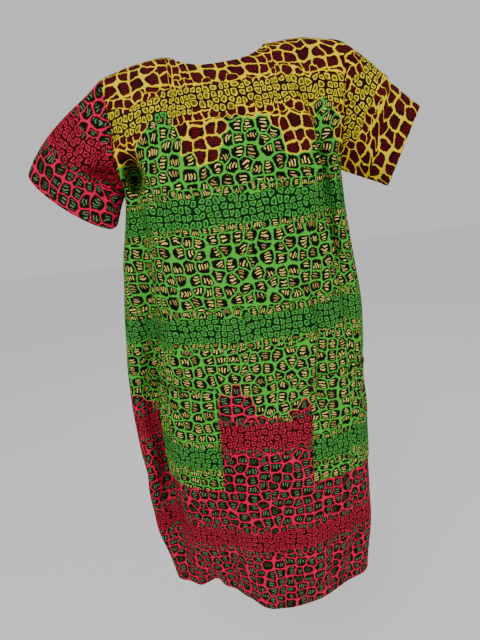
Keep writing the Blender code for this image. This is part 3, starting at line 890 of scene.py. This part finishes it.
def sleeve(name, loop):
    """Sleeve from its armhole loop to its cuff, as rows of rings whose last point is the first.

    Each line along the sleeve is a Hermite curve: it leaves the armhole between the line of the
    shoulder and that of the sleeve, and reaches the cuff square to it, or more nearly straight.
    """
    size = SLEEVES[name]
    outer = np.array(size["outer"])
    inner = np.array(size["inner"])
    steps = np.linalg.norm(np.diff(loop, axis=0), axis=1)
    half = len(steps) // 2
    front = np.cumsum(steps[:half]) / steps[:half].sum()
    back = np.cumsum(steps[half:]) / steps[half:].sum()
    share = np.concatenate([[0.0], front / 2, 0.5 + back / 2])

    centre = (outer + inner) / 2
    major = (outer - inner) / 2
    swing = np.radians(size["swing"])
    thick = np.array([np.sin(swing) * size["side"], -np.cos(swing), 0.0])
    thick = unit(thick - unit(major) * np.dot(thick, unit(major)))
    turn = np.pi * (1 - 2 * share)[:, None]
    axis = np.cross(unit(major), thick)
    axis = axis * np.sign(axis[0] * size["side"])
    forward = thick * size["half_thick"] + axis * size["front_drop"]
    cuff = centre + major * np.cos(turn) + forward * np.sin(turn)

    high = (1 + np.cos(turn)) / 2
    straight = size["straight"] * high
    reach = unit(axis * (1 - straight) + unit(cuff - loop) * straight)
    level = np.array([size["side"], 0.0, 0.0])
    leave = unit(reach + level * high * size["shoulder_lift"])
    length = np.linalg.norm(cuff - loop, axis=1, keepdims=True)

    t = np.linspace(0, 1, SLEEVE_ROWS + 1)[:, None, None]
    line = hermite(t, loop, cuff, leave * length, reach * length)
    middle = line[:, :-1].mean(axis=1, keepdims=True)
    press = fold_depth(SLEEVE_FOLDS[name], t[..., 0], share[None, :], 1.0)[..., None]
    puff = size["puff"] * np.sin(np.pi * t) * high
    line = line + unit(line - middle) * (puff - press)
    line[:, -1] = line[:, 0]
    return line


def sleeve_cut(grid, outward, axis):
    """Flat cut of a sleeve: across from its shoulder line, forward below 0, and down to its cuff.

    At each point the sleeve's axis is laid into the surface, and a second direction square to it.
    Steps of the grid are split along the two and added up: round each ring from the shoulder
    line, and up each line from the cuff.
    """
    along = unit(axis - outward * (outward @ axis)[..., None])
    square = np.cross(along, outward)
    square = square * np.sign(np.sum(np.gradient(grid, axis=1) * square))
    middle = grid.shape[1] // 2
    steps = np.sum(np.diff(grid, axis=1) * (square[:, 1:] + square[:, :-1]) / 2, axis=2)
    across = added_up(steps, 1)
    drift = np.sum(np.diff(grid[:, middle], axis=0) * square[1:, middle], axis=1)[::-1]
    drift = added_up(drift)[::-1]
    across = across - across[:, middle, None] - drift[:, None]
    steps = np.sum(np.diff(grid, axis=0) * (along[1:] + along[:-1]) / 2, axis=2)[::-1]
    up = added_up(steps)[::-1]
    return np.stack([across, CUFF_DOWN - up], axis=-1)


def sleeve_normals(grid, side):
    """Outward normals of a sleeve, the same on both edges of its seam."""
    outward = surface_normals(grid) * side
    outward[:, 0] = outward[:, -1] = unit(outward[:, 0] + outward[:, -1])
    return outward


for name, size in SLEEVES.items():
    grid = sleeve(name, armhole(size["side"]))
    outward = sleeve_normals(grid, size["side"])
    axis = unit(np.mean(grid[-1] - grid[0], axis=0))
    cut = sleeve_cut(grid, outward, axis)
    under_far, head_far = edges_far(cut)
    cuff_far = CUFF_DOWN - cut[..., 1]
    relief = crease_relief(SLEEVE_CREASES[name], cut)
    relief = relief * np.clip(under_far / PLAIN_SLEEVE_EDGE, 0, 1)
    relief = relief * np.clip(head_far / PLAIN_SLEEVE_EDGE, 0, 1)
    relief += seam_relief(under_far, cut[..., 1]) + seam_relief(head_far, cut[..., 0])
    relief += seam_relief(abs(cuff_far - CUFF_DEEP), cut[..., 0]) * HEM_PULL
    creased = grid + outward * relief[..., None]
    grids[name] = hollow(creased, name)
    cuts[name] = sleeve_cut(creased, sleeve_normals(creased, size["side"]), axis)


# Seams
# Plain seams at the shoulders, the sides and the armholes. The two edges of each are brought to
# one line, halfway between them.
def join(first, second, on_first, on_second):
    """Brings two edges to one line, halfway between them."""
    first[on_first] = second[on_second] = (first[on_first] + second[on_second]) / 2


front, back = grids["front"], grids["back"]
for column in (0, -1):
    side_seam = np.s_[YOKE_ROWS:, column]
    join(front, back, side_seam, side_seam)
for part in (1, -1):
    on_front = shares["front"] * part >= NECK_SHARE - NEAR
    on_back = shares["back"] * part >= NECK_SHARE - NEAR
    join(front, back, (0, on_front), (0, on_back))
for name, size in SLEEVES.items():
    column = 0 if size["side"] < 0 else -1
    edge = np.concatenate([front[YOKE_ROWS::-1, column], back[1:YOKE_ROWS + 1, column]])
    line = (edge + grids[name][0]) / 2
    line[-1] = line[0]
    grids[name][0] = line
    front[:YOKE_ROWS + 1, column] = line[YOKE_ROWS::-1]
    back[:YOKE_ROWS + 1, column] = line[YOKE_ROWS:]


# Front and back, printed and hung
# Rows of rings lie at the same heights on both panels. The yellow ends at three green peaks, and
# the red rises in peaks at the middle and at the sides.
RING_ROWS = (
    # down, half its height
    (0.110, 0.019), (0.287, 0.025), (0.497, 0.025), (0.722, 0.026), (0.980, 0.025), (1.225, 0.025),
)
FRONT_BOW = (
    # across, further down, in millimetres
    (-450, 18), (-235, 17), (-190, 15), (-140, 7), (-90, 0), (450, 0),
)
FRONT_YELLOW = (
    # across, down to, in millimetres
    (-450, 200), (-215, 190), (-182, 183), (-171, 158), (-138, 118), (-118, 128), (-87, 172),
    (-62, 217), (-46, 219), (-18, 182), (-5, 140), (58, 138), (70, 172), (108, 215), (129, 203),
    (150, 160), (166, 133), (180, 119), (200, 138), (207, 190), (215, 225), (450, 230),
)
FRONT_RED = (
    # across, down from, in millimetres
    (-450, 640), (-332, 650), (-315, 690), (-200, 712), (-102, 690), (-94, 646), (-83, 632),
    (-56, 600), (-26, 640), (-18, 668), (-5, 690), (44, 697), (58, 671), (80, 626), (92, 660),
    (110, 700), (200, 700), (225, 660), (450, 660),
)
BACK_YELLOW = (
    (-450, 216), (-200, 206), (-150, 121), (-110, 196), (-80, 206), (-45, 141), (40, 136),
    (70, 196), (100, 211), (140, 116), (185, 206), (450, 216),
)
BACK_RED = (
    (-450, 698), (-240, 658), (-210, 698), (-130, 708), (-90, 618), (-50, 678), (10, 708),
    (60, 698), (95, 628), (140, 698), (210, 708), (240, 668), (450, 698),
)
panel_wax = {
    "front": wax_cotton("wax cotton front", RING_ROWS, FRONT_YELLOW, FRONT_RED, bow=FRONT_BOW),
    "back": wax_cotton("wax cotton back", RING_ROWS, BACK_YELLOW, BACK_RED, (0.310, 0.017)),
}
PANEL_FLAT = {"front": (0.600, 1.150), "back": (0.585, 1.150)}
outwards = {"front": surface_normals(front), "back": -surface_normals(back)}
for side, flat in PANEL_FLAT.items():
    order = slice(None, None, 1 if side == "front" else -1)
    in_neck = abs(shares[side]) <= NECK_SHARE + NEAR
    grid, cut, outward = (kind[side] for kind in (grids, cuts, outwards))
    neck = (grid[::-1, in_neck], cut[::-1, in_neck], outward[::-1, in_neck])
    sheets = [(grid, cut), turn_in(grid, cut, outward, HEM_DEEP)]
    sheets = [(places[:, order], flats[:, order]) for places, flats in sheets]
    places, flats = turn_in(*neck, NECK_DEEP)
    sheets.append((places[::-1, order], flats[::-1, order]))
    piece = lay_panel("cotton_" + side, sheets)
    dress(piece, panel_wax[side], side)
    "front" if side == "back" else "back"


# Sleeves, printed and set in
# The right one is cut from the red of the cloth and the left one from its yellow, each with one
# row of rings round it.
SLEEVE_BOW = (
    # across, further down, in millimetres
    (-450, 0), (-210, 0), (-155, 50), (120, 50), (200, 20), (450, 20),
)
SLEEVE_PRINTS = {
    # name, ring row, edge of the yellow and the red, shift, bow
    "sleeve_right": ("wax cotton right sleeve", (0.187, 0.029), TOP_LINE, (0.07, 0.05), TOP_LINE),
    "sleeve_left": ("wax cotton left sleeve", (0.149, 0.022), FOOT_LINE, (0.19, 0.11), SLEEVE_BOW),
}
for name, (title, rings, edge, shift, bow) in SLEEVE_PRINTS.items():
    side = SLEEVES[name]["side"]
    order = slice(None, None, -1 if side < 0 else 1)
    outwards[name] = sleeve_normals(grids[name], side)
    grid, cut, outward = (kind[name] for kind in (grids, cuts, outwards))
    sheets = [(grid, cut), turn_in(grid, cut, outward, CUFF_DEEP)]
    sheets = [(places[:, order], flats[:, order]) for places, flats in sheets]
    piece = lay_panel("cotton_" + name, sheets, closed=True)
    dress(piece, wax_cotton(title, (rings,), edge, edge, shift, bow), name)


# Pockets
# Two patch pockets of the same cotton, cut so that their print doesn't follow the front's. Each is
# turned in and sewn on three sides, and its hemmed mouth stands away a little.
POCKETS = {
    "pocket_right": {
        "inner": -0.2375, "outer": -0.660, "flat": (0.176, 0.232), "shift": (0.031, 0.013),
        "rings": ((0.565, 0.020), (0.768, 0.025), (0.985, 0.020)),
    },
    "pocket_left": {
        "inner": 0.2375, "outer": 0.905, "flat": (0.150, 0.232), "shift": (0.117, 0.009),
        "rings": ((0.550, 0.020), (0.771, 0.026), (0.990, 0.020)),
    },
}
POCKET_LIFT = 0.0014
POCKET_PUFF = 0.0026
MOUTH_GAPE = 0.0022
RIM_STEEP = {"side": 10, "foot": 12}
for name, size in POCKETS.items():
    low, high = sorted((size["inner"], size["outer"]))
    columns = (shares["front"] > low - NEAR) & (shares["front"] < high + NEAR)
    base = front[POCKET_ROWS][:, columns]
    out = outwards["front"][POCKET_ROWS][:, columns]
    down = np.linspace(0, 1, base.shape[0])[:, None]
    across = np.linspace(0, 1, base.shape[1])[None, :]
    rim_far = np.minimum(across, 1 - across) * RIM_STEEP["side"]
    rim_far = np.minimum(rim_far, (1 - down) * RIM_STEEP["foot"])
    puff = POCKET_PUFF * np.sin(np.clip(rim_far, 0, 1) * np.pi / 2)
    gape = MOUTH_GAPE * np.sin(np.pi * across) * (1 - down) ** 2
    grids[name] = base + out * (POCKET_LIFT + puff + gape)[..., None]
    outwards[name] = out
    cuts[name] = cuts["front"][POCKET_ROWS][:, columns]
    piece = lay_panel("cotton_" + name, [(grids[name], cuts[name])])
    wax = wax_cotton("wax cotton " + name, size["rings"], TOP_LINE, FOOT_LINE, size["shift"])
    dress(piece, wax, name)


# Stitches
# Dark cotton thread in short even stitches that sink into the cloth at both ends: one row round
# the foot, each cuff and the neckline, and one round each pocket and under its mouth.
STITCH_LONG = 0.0026
STITCH_PITCH = 0.0034
STITCH_THICK = 0.00050
STITCH_SIDES = 5
# Rings of a stitch: place along it, radius, and height over the cloth, as shares of its sizes
STITCH_RINGS = ((-0.50, 0.45, -0.30), (-0.28, 1.0, 0.25), (0.28, 1.0, 0.25), (0.50, 0.45, -0.30))
POCKET_EDGE = 0.0022
MOUTH_DEEP = 0.020
STITCH_IN = 0.002
NECK_STITCH_IN = 0.001
THREAD_DYE = (0.012, 0.016, 0.008)
THREAD_ROUGH = 0.6


def sew(name, lines):
    """Stitches along lines, each a row of places with the cloth's outward normals.

    A stitch is a few rings round a short straight core, closed at both ends. Its points are worked
    out for a whole line at once, by stitch, by ring and by side.
    """
    turn = 2 * np.pi * np.arange(STITCH_SIDES) / STITCH_SIDES
    far, radius, height = np.array(STITCH_RINGS).T[..., None]
    ring = np.arange(STITCH_SIDES)
    sides = np.stack([ring, np.roll(ring, -1)], axis=1)
    shape = [ring[::-1].tolist(), (ring + (len(STITCH_RINGS) - 1) * STITCH_SIDES).tolist()]
    for start in range(0, (len(STITCH_RINGS) - 1) * STITCH_SIDES, STITCH_SIDES):
        low, high = sides + start, sides[:, ::-1] + start + STITCH_SIDES
        shape += np.concatenate([low, high], axis=1).tolist()
    points = []
    for places, normals in lines:
        length = lengths(places)
        middles = np.arange(STITCH_PITCH / 2, length[-1] - STITCH_PITCH / 4, STITCH_PITCH)

        def at(values, where):
            """Values at lengths along the line."""
            return np.stack([np.interp(where, length, values[:, k]) for k in range(3)], axis=-1)

        ends = [at(places, middles + STITCH_LONG * half) for half in (-0.5, 0.5)]
        along = unit(ends[1] - ends[0])[:, None]
        up = unit(at(normals, middles))[:, None]
        side = unit(np.cross(up, along))
        hub = at(places, middles)[:, None] + along * far * STITCH_LONG
        hub = hub + up * (CLOTH / 2 + height * STITCH_THICK)
        rim = np.cos(turn)[:, None] * side + np.sin(turn)[:, None] * up
        points.append(hub[:, :, None] + rim[:, None] * radius[..., None] * STITCH_THICK / 2)
    points = np.concatenate(points).reshape(-1, 3)
    starts = range(0, len(points), len(STITCH_RINGS) * STITCH_SIDES)
    faces = [[start + v for v in face] for start in starts for face in shape]
    piece = add_mesh(name, points.tolist(), faces)
    piece.data.shade_smooth()
    piece.data.materials.append(thread)
    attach(piece, "root")


def edge_row(name, deep, edge="foot", columns=slice(None)):
    """Places and normals along a line at one depth from an edge of a panel."""
    rows = (grids[name][:, columns], cuts[name][:, columns], outwards[name][:, columns])
    if edge == "top":
        rows = tuple(row[::-1] for row in rows)
    elif edge != "foot":
        rows = tuple(row.swapaxes(0, 1) for row in rows)
        rows = tuple(row[::-1] for row in rows) if edge == "right" else rows
    grid, cut, outward = rows
    return climb(grid, cut, deep, 1)[0], climb(outward, cut, deep, 1)[0]


def plain(name, roughness, colour):
    """Material of one even colour."""
    paint = Paint(name, roughness)
    paint.feed("Base Color", colour)
    return paint.material


thread = plain("dark thread", THREAD_ROUGH, THREAD_DYE)
sew("stitches_hem", [edge_row(side, HEM_DEEP - STITCH_IN) for side in shares])
necks = {side: abs(places) <= NECK_SHARE + NEAR for side, places in shares.items()}
neck_in = NECK_DEEP - NECK_STITCH_IN
sew("stitches_neck", [edge_row(side, neck_in, "top", necks[side]) for side in shares])
for name in SLEEVES:
    sew("stitches_" + name, [edge_row(name, CUFF_DEEP - STITCH_IN)])
for name in POCKETS:
    lines = [edge_row(name, POCKET_EDGE, edge) for edge in ("foot", "left", "right")]
    sew("stitches_" + name, lines + [edge_row(name, MOUTH_DEEP, "top")])


# Floor and light
# A plain pale floor well below the hem, and soft light from large panels, as in a studio.
FLOOR_Z = -1.60
FLOOR_HALF = 8.0
FLOOR_PALE = (0.92, 0.92, 0.92)
FLOOR_ROUGH = 0.9
# Lights: name, place, size and watts
LIGHTS = (
    ("key", (-0.7, -2.0, 1.5), 1.3, 27.0),
    ("fill", (1.7, -1.9, 0.2), 2.0, 7.0),
    ("back", (0.3, 1.9, 1.2), 2.0, 10.0),
    ("low", (0.0, -2.2, -1.0), 2.0, 3.0),
)
LIGHT_AIM = (-0.01, 0.0, -0.55)
ROOM_LIGHT = 0.68
FLOOR_CORNERS = ((-1, -1), (1, -1), (1, 1), (-1, 1))
corners = [(x * FLOOR_HALF, y * FLOOR_HALF, FLOOR_Z) for x, y in FLOOR_CORNERS]
floor = add_mesh("floor", corners, [(0, 1, 2, 3)])
floor.data.materials.append(plain("pale floor", FLOOR_ROUGH, FLOOR_PALE))
floor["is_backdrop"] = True

for name, place, size, watts in LIGHTS:
    lamp = bpy.data.lights.new(name, "AREA")
    lamp.shape = "DISK"
    lamp.size = size
    lamp.energy = watts
    item = add_object(name, lamp)
    back_axis = unit(np.array(place) - np.array(LIGHT_AIM))
    side_axis = unit(np.cross([0.0, 0.0, 1.0], back_axis))
    axes = np.array([side_axis, np.cross(back_axis, side_axis), back_axis]).T
    item.matrix_world = Matrix.Translation(place) @ Matrix(axes.tolist()).to_4x4()
world = bpy.data.worlds.new("studio")
world.use_nodes = True
world.node_tree.nodes["Background"].inputs["Color"].default_value = (1.0, 1.0, 1.0, 1.0)
world.node_tree.nodes["Background"].inputs["Strength"].default_value = ROOM_LIGHT
bpy.context.scene.world = world

low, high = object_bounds()
